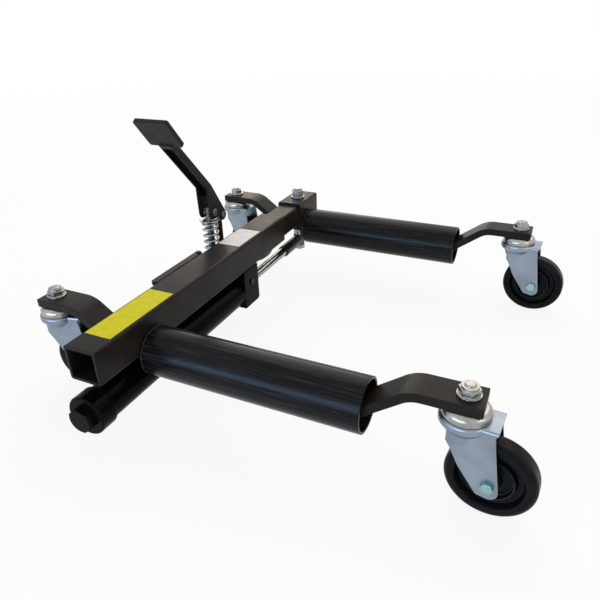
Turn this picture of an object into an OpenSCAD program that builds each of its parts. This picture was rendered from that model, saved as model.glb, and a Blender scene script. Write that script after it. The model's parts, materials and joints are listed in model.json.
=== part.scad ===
// Vehicle positioning jack: a low trolley whose two rollers are drawn together
// under a tyre by a foot-pumped ram, so that a parked car can be pushed sideways.
// X runs along the rollers, Y along the beam, Z is up and the floor is at zero.
// The origin is on the floor under the middle of the trolley's outline.

/* [Beam] */
// Outside width and height of the square outer tube
beam_w = 50; // [46:1:60]
// Wall of the square outer tube
beam_wall = 4.5; // [3:0.5:6]
// Length of the outer tube
beam_len = 505; // [470:5:600]
// Outside corner radius of the square tubes
tube_corner = 4; // [2:0.5:6]
// Wall of the square inner tube
inner_wall = 3; // [2:0.5:5]
// Clearance on each side between the two tubes
tube_gap = 0.5; // [0.3:0.1:1]
// Length of the box welded round the far end of the inner tube
box_len = 84; // [76:1:120]
// How far the inner tube stands out past its closed place
drawn_out = 70; // [20:1:120]
// Whole travel of the inner tube
travel = 150; // [140:1:170]
// Space left between the outer tube and the box when closed
closed_gap = 3; // [2:1:10]
// Length of inner tube that stays inside at full travel
inner_hold = 275; // [200:5:300]
// Thickness of the stickers on the beam
sticker_t = 0.2; // [0.1:0.1:0.5]
// Length of the sticker at the near end
near_sticker_len = 129; // [60:1:200]
// Length of the sticker near the pump
far_sticker_len = 73; // [40:1:110]

/* [Roller arms] */
// Width of the flat bar
arm_w = 41; // [36:1:42]
// Thickness of the flat bar
arm_t = 12; // [10:1:14]
// How far the bar's ends lie above its middle
arm_lift = 43.5; // [38:0.5:50]
// Radius of the two lower bends along the middle of the bar's thickness
bend_r = 14; // [10:1:18]
// Radius of the two upper bends along the middle of the bar's thickness
crest_r = 38; // [14:1:42]
// Near arm's middle from the near end of the beam
near_arm_y = 103.4; // [80:0.2:130]
// Far arm's middle from the near end of the box
far_arm_inset = 34.4; // [30:0.2:40]
// Level length of the bar's raised front end
front_pad = 78; // [50:1:100]
// Length along X of the front slope
front_slope = 58; // [50:0.5:70]
// Length along X of the rear slope
rear_slope = 60.5; // [50:0.5:70]
// Level length of the bar's raised rear end
rear_pad = 70.3; // [50:0.1:90]
// Space between the side of the beam and the rear bend
rear_bend_gap = 7; // [6:1:20]

/* [Rollers] */
// Outside diameter of a roller
roller_d = 70.2; // [68:0.2:76]
// Wall of a roller
roller_wall = 3.5; // [2:0.5:5]
// Length of a roller
roller_len = 304; // [240:1:360]
// Space between the side of the beam and a roller
roller_gap = 4; // [4:0.5:8]
// How far the front bend lies inside the roller's open end
bend_inset = 8; // [6:1:14]
// Diameter of the discs on the bar that carry the roller
journal_d = 48; // [47:0.5:54]
// Thickness of each disc
journal_t = 12; // [8:1:16]
// Depth of the outer disc inside the roller's open end
journal_recess = 40; // [34:1:60]
// Thickness of the inner bush's flange
bush_flange_t = 2.5; // [2:0.5:3]

/* [Casters] */
// Height of the raised arm ends' underside above the floor
caster_h = 137; // [132:1:150]
// Wheel diameter
wheel_d = 101.6; // [90:0.1:104]
// Wheel width
wheel_w = 26; // [20:1:27]
// Distance from the swivel axis back to the wheel's axle
trail = 35.3; // [30:0.1:40]
// Distance of the swivel axis from the end of the bar
king_inset = 18.8; // [16:0.1:24]
// How far the near front caster is swivelled at rest, seen from above
nf_swivel = -4; // [-30:1:30]
// How far the far front caster is swivelled at rest
ff_swivel = -4; // [-30:1:30]
// How far the near rear caster is swivelled at rest
nr_swivel = 15; // [-30:1:30]
// How far the far rear caster is swivelled at rest
fr_swivel = -7; // [-30:1:30]
// Outside width of the fork
fork_w = 40; // [36:0.5:44]
// Thickness of the fork's steel
fork_t = 3; // [2:0.5:4]
// Radius of the fork's round crown
crown_r = 29.5; // [29:0.5:31]
// Height of the swivel race between the fork and the bar
race_h = 12; // [10:0.5:14]
// Radius of the swivel race
race_r = 27; // [25:0.5:28]
// Radius of the circle of balls
ball_circle_r = 20; // [18:0.5:21]
// Diameter of a ball
ball_d = 5; // [4:0.5:5]
// Number of balls
ball_count = 10; // [6:1:12]
// Diameter of the swivel's kingpin
king_d = 12; // [10:0.5:14]
// Diameter of the axle bolt
axle_d = 8; // [6:0.5:10]
// Outside diameter of the sleeve that the wheel turns on
sleeve_d = 12; // [12:0.5:16]

/* [Ram] */
// Outside diameter of the ram's barrel
barrel_d = 50; // [44:1:50]
// Wall of the barrel
barrel_wall = 4; // [3:0.5:6]
// Depth of the ram's axis below the beam
ram_drop = 43; // [40:0.5:50]
// Far face of the barrel from the near end of the beam
block_y = 346; // [330:1:360]
// Length of the block that closes the barrel
block_len = 48; // [40:1:60]
// Depth of the block below the ram's axis
block_below = 26.5; // [20:0.5:30]
// How far the end cap reaches past the near end of the beam
cap_reach = 14; // [8:1:30]
// Length of the end cap
cap_len = 27; // [20:1:40]
// Outside diameter of the end cap
cap_d = 56.3; // [55:0.1:62]
// Width across the flats of the hexagonal plug
plug_flats = 32; // [24:0.5:38]
// Length of the hexagonal plug
plug_len = 11; // [6:0.5:16]
// Diameter of the ram's rod
rod_d = 17; // [14:0.5:20]
// Length of the piston
piston_len = 20; // [14:1:30]
// Diameter of the bolt through the box
box_bolt_d = 16; // [12:0.5:18]
// Distance of that bolt from the near end of the box
box_bolt_inset = 42; // [38:0.5:46]

/* [Foot pump] */
// Distance of the plunger from the middle of the beam
pump_x = 50; // [48:0.5:60]
// Place of the plunger along the beam
pump_y = 368.5; // [360:0.5:372]
// Height of the pump's barrel above the underside of the beam
pump_rise = 6.5; // [4:0.5:12]
// Diameter of the plunger
plunger_d = 12; // [10:0.5:13]
// Outside diameter of the return spring
spring_d = 29; // [27:0.5:31]
// Diameter of the spring's wire
wire_d = 4; // [3:0.25:4.5]
// Length of the spring as fitted
spring_len = 72.9; // [66:0.1:80]
// Number of turns of the spring
spring_turns = 7; // [6:0.5:8]
// Diameter of the washer on top of the spring
seat_d = 35; // [32:0.5:35]
// Thickness of that washer
seat_t = 2.5; // [2:0.5:4]
// Height of the plunger's pin above that washer
pin_rise = 13.6; // [13:0.1:16]
// Distance from the plunger's pin back to the lever's pivot
pivot_back = 26.5; // [26:0.5:30]
// Depth of the lever's pivot below the plunger's pin
pivot_below = 13; // [10:0.5:15]
// Diameter of the two pins
pin_d = 7; // [6:0.5:8]
// Outside width of the lever's socket
lever_w = 24; // [22:0.5:27]
// Thickness of the lever's steel
lever_t = 3; // [2.5:0.5:4]
// Thickness of the strap that holds the pivot
post_t = 6; // [5:0.5:10]
// Width of the pedal
pedal_w = 60; // [44:1:70]
// Length of the pedal
pedal_len = 51.5; // [40:0.5:70]
// Thickness of the pedal
pedal_t = 7; // [5:0.5:9]
// Length of the lever's straight shank
shank_len = 119.5; // [90:1:130]
// Slope of the lever's shank
shank_slope = 48; // [40:0.5:60]
// Slope of the pedal
pedal_slope = 51; // [40:0.5:60]

/* [Release lever] */
// Distance of the release spindle from the middle of the beam
release_x = 40; // [38:0.5:46]
// Place of the release spindle along the beam
release_y = 312; // [306:1:316]
// Length of the release lever from its spindle
release_len = 120; // [80:1:130]
// Width of the release lever
release_w = 12; // [10:0.5:14]
// Thickness of the release lever
release_t = 6; // [4:0.5:8]
// Height of the release lever above the underside of the beam
release_rise = 37.5; // [30:0.5:44]

/* [Hidden] */
$fn = 96;

// Radial clearance of a pin or shaft that turns or slides in its hole
run_gap = 0.06;
// Radial clearance of a piece that is pressed or threaded in its hole
fit_gap = 0.02;
// Clearance between pieces that pass each other
side_gap = 0.3;
// How far a cut reaches past the face that it opens
cut = 1;

// Heights of the arms and the beam
pad_top = caster_h + arm_t;
beam_z = pad_top - arm_lift;
arm_z = beam_z - arm_t / 2;
beam_top = beam_z + beam_w;
tube_mid_z = beam_z + beam_w / 2;

// Places along the beam
inner_w = beam_w - 2 * beam_wall - 2 * tube_gap;
box_y = beam_len + closed_gap + drawn_out;
far_arm_y = box_y + far_arm_inset;
bolt_y = box_y + box_bolt_inset;
inner_y = beam_len - inner_hold - (travel - drawn_out);
inner_len = box_y + box_len - 1 - inner_y;

// Places along the rollers
roller_r = roller_d / 2;
roller_x = beam_w / 2 + roller_gap;
front_bend = roller_x + roller_len - bend_inset;
rear_bend = beam_w / 2 + rear_bend_gap;
front_end = front_bend + front_slope + front_pad;
rear_end = rear_bend + rear_slope + rear_pad;
front_king = front_end - king_inset;
rear_king = -rear_end + king_inset;
king_xs = [front_king, rear_king];
root_disc_x = roller_x + 4;
outer_disc_x = roller_x + roller_len - journal_recess - journal_t;
disc_collar_t = 3;
roller_bore_r = roller_r - roller_wall;

// Caster heights
wheel_r = wheel_d / 2;
crown_z = caster_h - race_h;
ball_r = ball_d / 2;
ball_z = crown_z + 1;
ball_groove_r = ball_r + side_gap;
king_r = king_d / 2;
sleeve_len = fork_w - 2 * fork_t;

// Ram
ram_z = beam_z - ram_drop;
barrel_r = barrel_d / 2;
bore_r = barrel_r - barrel_wall;
rod_r = rod_d / 2;
cap_end = cap_len - cap_reach;
cap_floor = 12;
barrel_y = cap_floor - cap_reach + fit_gap;
piston_y = block_y - (travel - drawn_out) - piston_len - 6;
eye_r = 11.5;
eye_top = ram_z + 12.5;
eye_z = ram_z - 11.5;
collar_y = bolt_y - 75;
collar_r = 11.5;
rod_grip = 7;
spigot_r = 6;
seal_w = 5;

// Pump
pump_top = beam_z + pump_rise;
seat_z = pump_top + spring_len;
pin_z = seat_z + seat_t + pin_rise;
pivot_y = pump_y + pivot_back;
pivot_z = pin_z - pivot_below;
pin_r = pin_d / 2;
plunger_r = plunger_d / 2;
coil_r = (spring_d - wire_d) / 2;
body_z = ram_z - 2.5;
pump_r = 17;
body_end = pivot_y + 12;
body_start = release_y - 12;
plunger_foot = pump_top - 22;
pump_bore_foot = plunger_foot - 20;
post_half = 7;
socket_gap = lever_w - 2 * lever_t;

// Release lever
release_z = beam_z + release_rise;
spindle_r = 5;
spindle_foot = beam_z - 25;

// The origin is moved to the middle of the outline
tread_r = 7;
function wheel_reach(turn) =
    (wheel_r - tread_r) * cos(turn) + (wheel_w / 2 - tread_r) * sin(abs(turn)) + tread_r;
function front_reach(turn) = front_king + trail * cos(turn) + wheel_reach(turn);
function rear_reach(turn) = rear_king + trail * cos(turn) - wheel_reach(turn);
x_max = max(front_end, front_reach(nf_swivel), front_reach(ff_swivel));
x_min = min(-rear_end, rear_king - crown_r, rear_reach(nr_swivel), rear_reach(fr_swivel));
y_min = -cap_reach - plug_len;
y_max = box_y + box_len;
middle = [(x_max + x_min) / 2, (y_max + y_min) / 2, 0];

steel = "silver";
black = [0.08, 0.08, 0.085];
nylon = [0.16, 0.16, 0.16];

// Points along an arc
function arc(centre, radius, from, to, steps = 8) = [
    for (i = [0 : steps])
        let (a = from + (to - from) * i / steps)
        centre + radius * [cos(a), sin(a)]
];

module placed() {
    translate(-middle) children();
}

// Stands what is drawn along Z on its side, so that it runs along X
module along_x() {
    rotate([90, 0, 90]) children();
}

// Lays what is drawn along Z down, so that it runs along Y
module along_y() {
    rotate([-90, 0, 0]) children();
}

module ring(outer_r, inner_r, h) {
    difference() {
        cylinder(r = outer_r, h = h);
        translate([0, 0, -cut]) cylinder(r = inner_r, h = h + 2 * cut);
    }
}

module hex_bar(flats, h) {
    cylinder(d = flats / cos(30), h = h, $fn = 6);
}

// A square bar with round corners along Z
module soft_bar(w, h, corner) {
    side = w - 2 * corner;
    linear_extrude(h) {
        square([w, side], center = true);
        square([side, w], center = true);
        for (x = [-side / 2, side / 2], y = [-side / 2, side / 2])
            translate([x, y]) circle(r = corner, $fn = 32);
    }
}

module soft_tube(w, wall, h, corner) {
    difference() {
        soft_bar(w, h, corner);
        translate([0, 0, -cut]) soft_bar(w - 2 * wall, h + 2 * cut, max(corner - wall, 0.5));
    }
}

// A flange nut with a plain collar on top, standing on its flange
module flange_nut(flats, nut_h, flange_r, collar_radius, hole_r) {
    flange_t = 2.5;
    difference() {
        union() {
            cylinder(r = flange_r, h = flange_t);
            hex_bar(flats, nut_h);
            cylinder(r = collar_radius, h = nut_h + 3);
        }
        translate([0, 0, -cut]) cylinder(r = hole_r, h = nut_h + 3 + 2 * cut);
    }
}

// Beam
module beam_tube() {
    color(black) placed() difference() {
        translate([0, 0, tube_mid_z]) along_y() soft_tube(beam_w, beam_wall, beam_len, tube_corner);
        for (x = block_bolt_xs)
            translate([x, block_bolt_y, beam_z - cut]) cylinder(r = block_bolt_r + fit_gap, h = beam_wall + cut);
    }
}

sticker_w = beam_w - 2 * tube_corner - 1;
near_sticker_y = 33;
far_sticker_y = block_y - 1;

module sticker(y, length) {
    translate([-sticker_w / 2, y, beam_top]) cube([sticker_w, length, sticker_t]);
}

module near_sticker() {
    color("yellow") placed() sticker(near_sticker_y, near_sticker_len);
}

module far_sticker() {
    color("white") placed() sticker(far_sticker_y, far_sticker_len);
}

// Roller arms: one flat bar each, bent four times
front_turn = atan(arm_lift / front_slope);
rear_turn = atan(arm_lift / rear_slope);
// Where the straight runs would meet, and the slope of each run, from the rear end
arm_knots = [
    [-rear_bend - rear_slope, 0], [-rear_bend, -arm_lift], [front_bend, -arm_lift], [front_bend + front_slope, 0]
];
arm_slopes = [0, -rear_turn, 0, front_turn, 0];
arm_bends = [crest_r, bend_r, bend_r, crest_r];
bend_steps = 8;
arm_half = arm_t / 2;

function across(a) = [-sin(a), cos(a)];

// One edge of the bar, at a distance to the left of its middle line
function arm_edge(offset) = [
    for (i = [0 : len(arm_knots) - 1])
        let (from = arm_slopes[i])
        let (turn = arm_slopes[i + 1] - from)
        let (radius = sign(turn) * arm_bends[i])
        let (back = arm_bends[i] * tan(abs(turn) / 2))
        let (centre = arm_knots[i] - back * [cos(from), sin(from)] + radius * across(from))
        for (k = [0 : bend_steps])
            centre - (radius - offset) * across(from + turn * k / bend_steps)
];
arm_upper = concat([[-rear_end, arm_half]], arm_edge(arm_half), [[front_end, arm_half]]);
arm_lower = concat([[-rear_end, -arm_half]], arm_edge(-arm_half), [[front_end, -arm_half]]);

module arm(y) {
    difference() {
        translate([0, y + arm_w / 2, pad_top - arm_half]) rotate([90, 0, 0]) linear_extrude(arm_w)
            polygon(concat(arm_upper, [for (i = [len(arm_lower) - 1 : -1 : 0]) arm_lower[i]]));
        for (x = king_xs)
            translate([x, y, caster_h - cut]) cylinder(r = king_r + fit_gap, h = arm_t + 2 * cut);
    }
}

module near_arm() {
    color(black) placed() arm(near_arm_y);
}

module far_arm() {
    color(black) placed() difference() {
        arm(far_arm_y);
        translate([0, bolt_y, beam_z - arm_t - cut]) cylinder(r = box_bolt_d / 2 + fit_gap, h = arm_t + 2 * cut);
    }
}

// Discs welded on the bar, one near the beam and one with a collar near the open end
module journals(y) {
    difference() {
        translate([0, y, arm_z]) along_x() {
            translate([0, 0, root_disc_x]) cylinder(d = journal_d, h = journal_t);
            translate([0, 0, outer_disc_x]) cylinder(d = journal_d, h = journal_t + 2);
            translate([0, 0, outer_disc_x + journal_t + 2])
                cylinder(r = roller_bore_r - 1.6, h = disc_collar_t);
        }
        translate([roller_x, y - arm_w / 2, arm_z - arm_t / 2]) cube([roller_len, arm_w, arm_t]);
    }
}

module near_journals() {
    color(steel) placed() journals(near_arm_y);
}

module far_journals() {
    color(steel) placed() journals(far_arm_y);
}

// Rollers
module roller(y) {
    translate([roller_x, y, arm_z]) along_x() ring(roller_r, roller_bore_r, roller_len);
}

module near_roller() {
    color(black) placed() roller(near_arm_y);
}

module far_roller() {
    color(black) placed() roller(far_arm_y);
}

// Nylon bushes pressed in the roller: a flanged one at the beam and a ring near the open end
module bushes(y) {
    bush_r = roller_bore_r - fit_gap;
    hole_r = journal_d / 2 + run_gap;
    translate([0, y, arm_z]) along_x() {
        difference() {
            union() {
                translate([0, 0, roller_x]) cylinder(r = bush_r, h = journal_t + 6);
                translate([0, 0, roller_x - bush_flange_t]) rotate_extrude() polygon(concat(
                    [[0, 0], [roller_r - bush_flange_t, 0]],
                    arc([roller_r - bush_flange_t, bush_flange_t], bush_flange_t, -90, 0),
                    [[0, bush_flange_t]]
                ));
            }
            translate([0, 0, roller_x - bush_flange_t - cut])
                cylinder(r = hole_r, h = journal_t + 6 + bush_flange_t + 2 * cut);
        }
        translate([0, 0, outer_disc_x - 1]) ring(bush_r, hole_r, journal_t + 2);
    }
}

module near_bushes() {
    color(nylon) placed() bushes(near_arm_y);
}

module far_bushes() {
    color(nylon) placed() bushes(far_arm_y);
}

// Casters, drawn with the swivel axis at the origin and the wheel trailing towards +X
module at_casters(y) {
    for (x = king_xs)
        translate([x, y, 0]) children();
}

// Pressed ring under the bar, with a groove for the balls
module race() {
    skirt = 2;
    edge = 8;
    rotate_extrude() difference() {
        polygon(concat(
            [[king_r + fit_gap, crown_z + 2], [race_r - skirt, crown_z + 2], [race_r - skirt, crown_z + side_gap],
             [race_r, crown_z + side_gap]],
            arc([race_r - edge, caster_h - edge], edge, 0, 90),
            [[king_r + fit_gap, caster_h]]
        ));
        translate([ball_circle_r, ball_z]) circle(r = ball_groove_r, $fn = 32);
    }
}

module near_races() {
    color(steel) placed() at_casters(near_arm_y) race();
}

module far_races() {
    color(steel) placed() at_casters(far_arm_y) race();
}

king_head_r = 11;
king_head_h = 5;
king_nut_h = 10;
king_flats = 1.75 * king_d;
king_flange = 1.12 * king_d;
king_collar = 0.8 * king_d;
king_top = pad_top + king_nut_h + 5;

// Kingpin with its head inside the fork and its end above the nut
module kingpin() {
    head_top = crown_z - fork_t - side_gap;
    dome = 2;
    translate([0, 0, head_top - king_head_h]) cylinder(r = king_head_r, h = king_head_h);
    rotate_extrude() polygon(concat(
        [[0, head_top - cut], [king_r, head_top - cut]],
        arc([king_r - dome, king_top - dome], dome, 0, 90),
        [[0, king_top]]
    ));
}

module near_kingpins() {
    color(steel) placed() at_casters(near_arm_y) kingpin();
}

module far_kingpins() {
    color(steel) placed() at_casters(far_arm_y) kingpin();
}

module king_nut() {
    translate([0, 0, pad_top]) flange_nut(king_flats, king_nut_h, king_flange, king_collar, king_r + fit_gap);
}

module near_nuts() {
    color(steel) placed() at_casters(near_arm_y) king_nut();
}

module far_nuts() {
    color(steel) placed() at_casters(far_arm_y) king_nut();
}

// Side outline of the fork: crown, straight trailing edge, round foot and slanted leading edge
toe_r = 11;
toe = [trail + 1.2, wheel_r - 6.5];
fork_outline = concat(
    [[-crown_r - cut, crown_z + cut], [trail + 3, crown_z + cut], [trail + 3, crown_z - 2],
     [trail, crown_z - 7]],
    arc(toe, toe_r, 8, -90),
    [[toe[0] - 12, wheel_r - 15.5], [toe[0] - 15, wheel_r - 12], [trail - 34.5, wheel_r + 17],
     [-8.5, crown_z - 38], [-21, crown_z - 18], [-crown_r + 1.5, crown_z - 10], [-crown_r - cut, crown_z - 5]]
);

// Upside-down channel along X with round upper edges, from just ahead of the swivel axis
module channel_block(w, top, edge) {
    ahead = 15;
    reach = ahead + trail + crown_r;
    translate([-ahead, -w / 2, -cut]) cube([reach, w, top - edge + cut]);
    translate([-ahead, -w / 2 + edge, 0]) cube([reach, w - 2 * edge, top]);
    for (y = [-w / 2 + edge, w / 2 - edge])
        translate([-ahead, y, top - edge]) rotate([0, 90, 0]) cylinder(r = edge, h = reach);
}

// Round crown that narrows down to the cheeks
module crown_solid(radius, top, edge, foot_r, foot_z) {
    rotate_extrude() polygon(concat(
        [[0, foot_z], [foot_r, foot_z], [radius - 7, top - 17], [radius, top - 8]],
        arc([radius - edge, top - edge], edge, 0, 90),
        [[0, top]]
    ));
}

module fork() {
    edge = 3.5;
    cheek_in = fork_w / 2 - fork_t;
    difference() {
        intersection() {
            union() {
                channel_block(fork_w, crown_z, edge);
                crown_solid(crown_r, crown_z, edge, fork_w / 2, crown_z - 33);
            }
            rotate([90, 0, 0]) linear_extrude(4 * crown_r, center = true) polygon(fork_outline);
        }
        translate([0, -cheek_in, -2 * cut]) cube([2 * crown_r + trail, 2 * cheek_in, crown_z - edge + 2 * cut]);
        intersection() {
            channel_block(fork_w - 2 * fork_t, crown_z - fork_t, edge - fork_t);
            translate([0, -fork_w, 0]) cube([2 * crown_r + trail, 2 * fork_w, crown_z]);
        }
        translate([-2 * crown_r, -cheek_in, -cut]) cube([2 * crown_r + cut, 2 * cheek_in, crown_z - 12 + cut]);
        crown_solid(crown_r - fork_t, crown_z - fork_t, edge - fork_t, fork_w / 2 - fork_t, crown_z - 34);
        cylinder(r = king_r + run_gap, h = crown_z + cut);
        rotate_extrude() translate([ball_circle_r, ball_z]) circle(r = ball_groove_r, $fn = 32);
        translate([trail, -fork_w, wheel_r]) along_y() cylinder(r = axle_d / 2 + fit_gap, h = 2 * fork_w);
    }
}

// Thin cage ring with the balls held in it
module ball_ring() {
    translate([0, 0, ball_z - 0.5]) ring(ball_circle_r + 2, ball_circle_r - 2, 1);
    for (i = [0 : ball_count - 1])
        rotate([0, 0, 360 * i / ball_count]) translate([ball_circle_r, 0, ball_z]) sphere(r = ball_r, $fn = 32);
}

axle_head_flats = 13;
axle_head_h = 5;
axle_nut_h = 6;

// Axle bolt, its nut and the sleeve between the cheeks
module axle_set() {
    r = axle_d / 2;
    half = fork_w / 2;
    translate([trail, 0, wheel_r]) {
        translate([0, -half, 0]) along_y() translate([0, 0, -axle_head_h]) hex_bar(axle_head_flats, axle_head_h);
        translate([0, -half - cut, 0]) along_y() cylinder(r = r, h = fork_w + axle_nut_h + 1 + cut);
        translate([0, half, 0]) along_y() difference() {
            hex_bar(axle_head_flats, axle_nut_h);
            translate([0, 0, -cut]) cylinder(r = r + fit_gap, h = axle_nut_h + 2 * cut);
        }
        translate([0, -sleeve_len / 2, 0]) along_y() ring(sleeve_d / 2, r + fit_gap, sleeve_len);
    }
}

// Half profile of the wheel: hub, web with a ring on it, rim and round tread
hub_half = sleeve_len / 2 - side_gap;
wheel_half = wheel_w / 2;
rim_r = wheel_r - 12.8;
web_half = 4;
guard_r = wheel_r - 24;
wheel_side = concat(
    [[sleeve_d / 2 + run_gap, hub_half], [sleeve_d / 2 + 6, hub_half], [sleeve_d / 2 + 8, web_half],
     [guard_r - 2, web_half], [guard_r - 1, wheel_half - 3], [guard_r + 1, wheel_half - 3],
     [guard_r + 3, web_half], [rim_r - 3, web_half], [rim_r, wheel_half - 1.5], [rim_r + 1.5, wheel_half]],
    arc([wheel_r - tread_r, wheel_half - tread_r], tread_r, 90, 0)
);

module wheel() {
    translate([trail, 0, wheel_r]) along_y() rotate_extrude()
        polygon(concat(wheel_side, [for (i = [len(wheel_side) - 1 : -1 : 0]) [wheel_side[i][0], -wheel_side[i][1]]]));
}

module caster_at(x, y, turn) {
    placed() translate([x, y, 0]) rotate([0, 0, turn]) children();
}

module nf_fork() {
    color(steel) caster_at(front_king, near_arm_y, nf_swivel) fork();
}

module nf_balls() {
    color(steel) caster_at(front_king, near_arm_y, nf_swivel) ball_ring();
}

module nf_axle() {
    color(steel) caster_at(front_king, near_arm_y, nf_swivel) axle_set();
}

module nf_wheel() {
    color(black) caster_at(front_king, near_arm_y, nf_swivel) wheel();
}

module nr_fork() {
    color(steel) caster_at(rear_king, near_arm_y, nr_swivel) fork();
}

module nr_balls() {
    color(steel) caster_at(rear_king, near_arm_y, nr_swivel) ball_ring();
}

module nr_axle() {
    color(steel) caster_at(rear_king, near_arm_y, nr_swivel) axle_set();
}

module nr_wheel() {
    color(black) caster_at(rear_king, near_arm_y, nr_swivel) wheel();
}

module ff_fork() {
    color(steel) caster_at(front_king, far_arm_y, ff_swivel) fork();
}

module ff_balls() {
    color(steel) caster_at(front_king, far_arm_y, ff_swivel) ball_ring();
}

module ff_axle() {
    color(steel) caster_at(front_king, far_arm_y, ff_swivel) axle_set();
}

module ff_wheel() {
    color(black) caster_at(front_king, far_arm_y, ff_swivel) wheel();
}

module fr_fork() {
    color(steel) caster_at(rear_king, far_arm_y, fr_swivel) fork();
}

module fr_balls() {
    color(steel) caster_at(rear_king, far_arm_y, fr_swivel) ball_ring();
}

module fr_axle() {
    color(steel) caster_at(rear_king, far_arm_y, fr_swivel) axle_set();
}

module fr_wheel() {
    color(black) caster_at(rear_king, far_arm_y, fr_swivel) wheel();
}

// Inner tube and box
module inner_tube() {
    color(black) placed() difference() {
        translate([0, inner_y, tube_mid_z]) along_y()
            soft_tube(inner_w, inner_wall, inner_len, max(tube_corner - 1, 1));
        translate([0, bolt_y, beam_z - cut]) cylinder(r = box_bolt_d / 2 + fit_gap, h = beam_w + 2 * cut);
    }
}

module end_box() {
    color(black) placed() difference() {
        translate([0, box_y, tube_mid_z]) along_y() difference() {
            soft_bar(beam_w, box_len, tube_corner);
            translate([0, 0, -cut]) soft_bar(inner_w, box_len + 2 * cut, max(tube_corner - 1, 1));
        }
        translate([0, bolt_y, beam_z - cut]) cylinder(r = box_bolt_d / 2 + fit_gap, h = beam_w + 2 * cut);
    }
}

box_nut_h = 15;
box_flats = 1.4 * box_bolt_d;
box_flange = 0.86 * box_bolt_d;
box_collar = 0.68 * box_bolt_d;
spacer_r = 10.5;
box_head_h = 8;

// Bolt that holds the box, the far arm and the rod's eye, with its head below
module box_bolt() {
    color(steel) placed() translate([0, bolt_y, 0]) {
        translate([0, 0, eye_z - box_head_h]) hex_bar(box_flats, box_head_h);
        translate([0, 0, eye_z - cut]) cylinder(d = box_bolt_d, h = beam_top + box_nut_h + 5 - eye_z + cut);
    }
}

// Nut on the box and the spacer between the arm and the rod's eye
module box_nut() {
    color(steel) placed() translate([0, bolt_y, 0]) {
        translate([0, 0, beam_top]) flange_nut(box_flats, box_nut_h, box_flange, box_collar, box_bolt_d / 2 + fit_gap);
        translate([0, 0, eye_top]) ring(spacer_r, box_bolt_d / 2 + fit_gap, beam_z - arm_t - eye_top);
    }
}

// Ram
module ram_barrel() {
    color(black) placed() translate([0, barrel_y, ram_z]) along_y() ring(barrel_r, bore_r, block_y - barrel_y);
}

module ram_cap() {
    color(black) placed() translate([0, -cap_reach, ram_z]) along_y() difference() {
        rotate_extrude() polygon(concat(
            [[0, 0]],
            arc([cap_d / 2 - 3, 3], 3, -90, 0),
            arc([cap_d / 2 - 2, cap_len - 2], 2, 0, 90),
            [[0, cap_len]]
        ));
        translate([0, 0, cap_floor]) cylinder(r = barrel_r + fit_gap, h = cap_len);
        translate([0, 0, -cut]) cylinder(r = 9 + fit_gap, h = cap_len);
    }
}

// Hexagonal plug in the end cap, with its corners turned as they stand
module ram_plug() {
    color(black) placed() translate([0, -cap_reach - plug_len, ram_z]) along_y() {
        intersection() {
            rotate([0, 0, 20]) hex_bar(plug_flats, plug_len);
            rotate_extrude() polygon([
                [0, 0], [plug_flats / 2, 0], [plug_flats / 2 + 3, 2], [plug_flats / 2 + 3, plug_len], [0, plug_len]
            ]);
        }
        translate([0, 0, plug_len - cut]) cylinder(r = 9, h = cap_floor + 6 + cut);
    }
}

block_bolt_r = 3.5;
block_bolt_xs = [-15, 15];
block_bolt_y = block_y + block_len / 2;
block_foot = ram_z - block_below;
block_w = beam_w;
block_bolt_sink = 8;
gland_r = 14;
gland_len = 14;
side_screw_z = ram_z + 17;
side_screw_r = 3;
side_screw_len = 5;

module ram_block() {
    corner = 6;
    color(black) placed() difference() {
        translate([-block_w / 2, 0, 0]) along_x() linear_extrude(block_w) polygon(concat(
            [[block_y, block_foot]],
            arc([block_y + block_len - corner, block_foot + corner], corner, -90, 0),
            [[block_y + block_len, beam_z], [block_y, beam_z]]
        ));
        translate([0, block_y - cut, ram_z]) along_y() cylinder(r = rod_r + side_gap, h = block_len + 2 * cut);
        translate([0, block_y + block_len - gland_len, ram_z]) along_y()
            cylinder(r = gland_r + fit_gap, h = gland_len + cut);
        for (x = block_bolt_xs) translate([x, block_bolt_y, block_foot - cut]) {
            cylinder(r = block_bolt_r + fit_gap, h = beam_z - block_foot + 2 * cut);
            cylinder(r = block_bolt_r * 1.8, h = block_bolt_sink + cut);
        }
        translate([block_w / 2 - side_screw_len - side_gap, block_bolt_y, side_screw_z]) along_x()
            cylinder(r = side_screw_r + fit_gap, h = side_screw_len + side_gap + cut);
    }
}

module block_bolts() {
    color(steel) placed() for (x = block_bolt_xs) translate([x, block_bolt_y, block_foot]) {
        cylinder(r = block_bolt_r * 1.7, h = block_bolt_sink);
        cylinder(r = block_bolt_r, h = beam_z + beam_wall - 0.5 - block_foot);
    }
}

// Screw that closes a drilling in the side of the block
module side_screw() {
    color(steel) placed() translate([block_w / 2, block_bolt_y, side_screw_z]) along_x() difference() {
        union() {
            translate([0, 0, -side_screw_len]) cylinder(r = side_screw_r, h = side_screw_len);
            cylinder(r = side_screw_r * 1.5, h = 2.5);
        }
        translate([0, 0, 1]) hex_bar(4, 3);
    }
}

module rod_gland() {
    color(steel) placed() translate([0, block_y + block_len - gland_len, ram_z]) along_y()
        ring(gland_r, rod_r + run_gap, gland_len + 2);
}

module ram_rod() {
    start = piston_y + piston_len;
    color(steel) placed() translate([0, start, ram_z]) along_y() {
        cylinder(r = rod_r, h = collar_y + rod_grip - start);
        translate([0, 0, -piston_len - 4]) cylinder(r = spigot_r, h = piston_len + 4 + cut);
    }
}

module ram_piston() {
    groove = (piston_len - seal_w) / 2;
    color(steel) placed() translate([0, piston_y, ram_z]) along_y() difference() {
        ring(bore_r - run_gap, spigot_r + fit_gap, piston_len - fit_gap);
        translate([0, 0, groove]) ring(bore_r + cut, bore_r - 4, seal_w);
    }
}

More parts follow.
